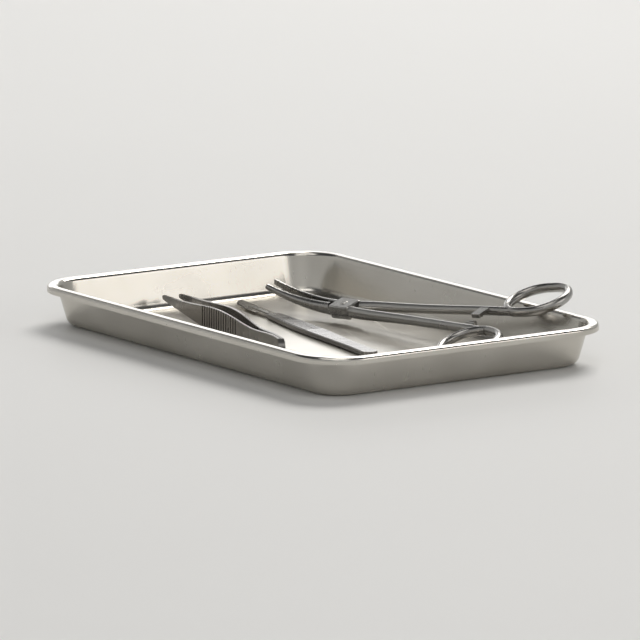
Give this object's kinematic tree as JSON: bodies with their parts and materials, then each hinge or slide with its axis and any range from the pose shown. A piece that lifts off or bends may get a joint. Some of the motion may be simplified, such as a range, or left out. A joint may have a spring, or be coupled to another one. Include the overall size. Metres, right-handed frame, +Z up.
{
  "type": "instrument tray",
  "caption": "Shallow rectangular stainless steel instrument tray with rolled rim, holding artery forceps, dissecting forceps and a scalpel.",
  "frame": {"origin": "centre of the tray's flat underside", "axes": "+X along the tray's long side, +Y along its short side, +Z up out of the tray"},
  "size_m": [0.225, 0.1579, 0.0276],
  "materials": {
    "tray_steel": "satin stainless steel, finely brushed",
    "artery_steel": "satin forged stainless steel",
    "pin_steel": "polished rivet ends",
    "thumb_steel": "satin sprung stainless steel",
    "handle_steel": "satin stainless steel, grooved grip",
    "blade_steel": "ground carbon steel, bright edge"
  },
  "bodies": {
    "tray": {"tray_pan": "tray_steel"},
    "artery_forceps": {"artery_female_half": "artery_steel", "artery_pivot_pin": "pin_steel"},
    "artery_far_half": {"artery_male_half": "artery_steel"},
    "thumb_forceps": {"thumb_forceps_left_arm": "thumb_steel"},
    "thumb_forceps_free_arm": {"thumb_forceps_right_arm": "thumb_steel"},
    "scalpel": {"scalpel_handle": "handle_steel", "scalpel_blade": "blade_steel"}
  },
  "joints": [
    {"name": "artery_forceps_lift", "type": "slide", "parent": "tray", "child": "artery_forceps", "axis": [0, 0, 1], "range_m": [0, 0.12]},
    {"name": "artery_forceps_open", "type": "hinge", "parent": "artery_forceps", "child": "artery_far_half", "pos_m": [-0.033, 0.036, 0.0066], "axis": [-0.0327, -0.3267, 0.9446], "range_deg": [-5, 20]},
    {"name": "thumb_forceps_lift", "type": "slide", "parent": "tray", "child": "thumb_forceps", "axis": [0, 0, 1], "range_m": [0, 0.12]},
    {"name": "thumb_forceps_squeeze", "type": "hinge", "parent": "thumb_forceps", "child": "thumb_forceps_free_arm", "pos_m": [0.02013, -0.03577, 0.00611], "axis": [0.0103, -0.0021, 0.9999], "range_deg": [0, 2.9], "stiffness_Nm_per_rad": 0.6},
    {"name": "scalpel_lift", "type": "slide", "parent": "tray", "child": "scalpel", "axis": [0, 0, 1], "range_m": [0, 0.12]}
  ]
}
